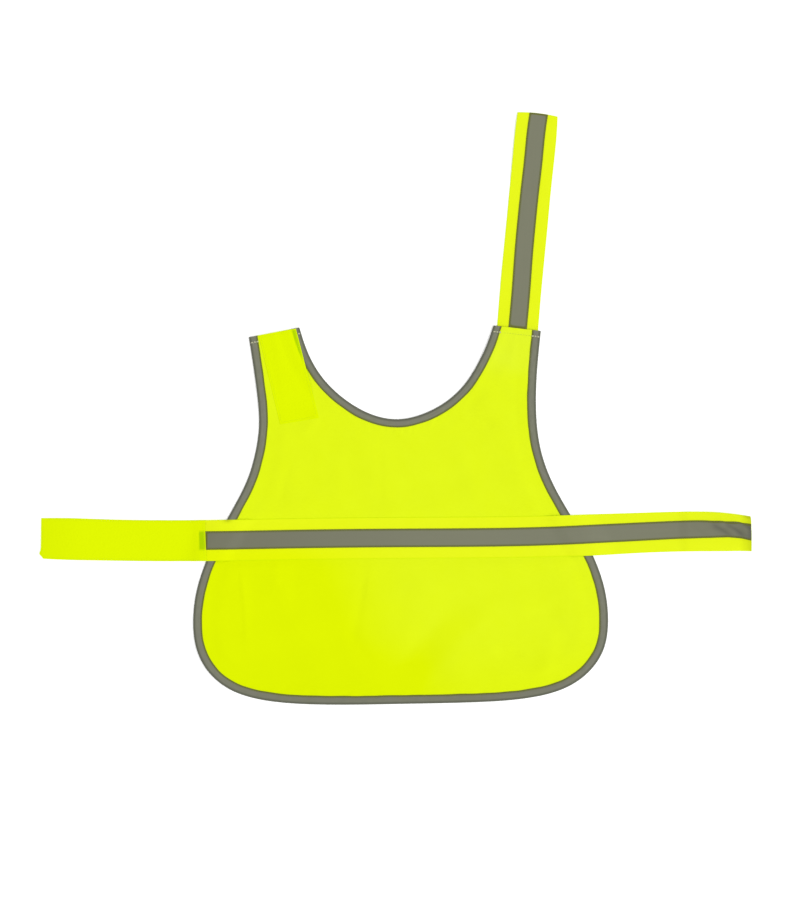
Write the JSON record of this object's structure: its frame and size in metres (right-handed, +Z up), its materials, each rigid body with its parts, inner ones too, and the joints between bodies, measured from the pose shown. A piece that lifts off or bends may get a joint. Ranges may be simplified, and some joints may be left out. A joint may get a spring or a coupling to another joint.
{
  "type": "dog safety vest",
  "caption": "High-visibility dog vest laid flat: bib panel with scoop neck and bound edges, a girth belt across it and a neck strap, both with reflective tape.",
  "frame": {"origin": "on the table, in the middle of the laid-out vest's footprint", "axes": "+X along the girth belt, to its curled free end; +Y from the hem to the neck strap's free end; +Z up from the table, out of the vest's outer face"},
  "size_m": [0.8633, 0.7205, 0.0137],
  "materials": {
    "yellow_cloth": "fluorescent yellow woven cloth, matt",
    "yellow_strap": "fluorescent yellow woven strap, matt",
    "loop_tape": "fluorescent yellow loop tape, soft nap",
    "hook_tape": "fluorescent yellow hook tape, fine hooks",
    "reflective_tape": "grey glass-bead reflective tape, satin",
    "grey_binding": "grey folded reflective binding tape, satin"
  },
  "bodies": {
    "root": {"body_panel": "yellow_cloth", "girth_belt": "yellow_strap", "neck_strap": "yellow_strap", "edge_binding": "grey_binding", "neck_binding": "grey_binding", "belt_reflector": "reflective_tape", "strap_reflector": "reflective_tape", "belt_loop_patch": "loop_tape", "shoulder_loop_patch": "loop_tape", "belt_hook_patch": "hook_tape", "strap_hook_patch": "hook_tape"}
  },
  "joints": []
}
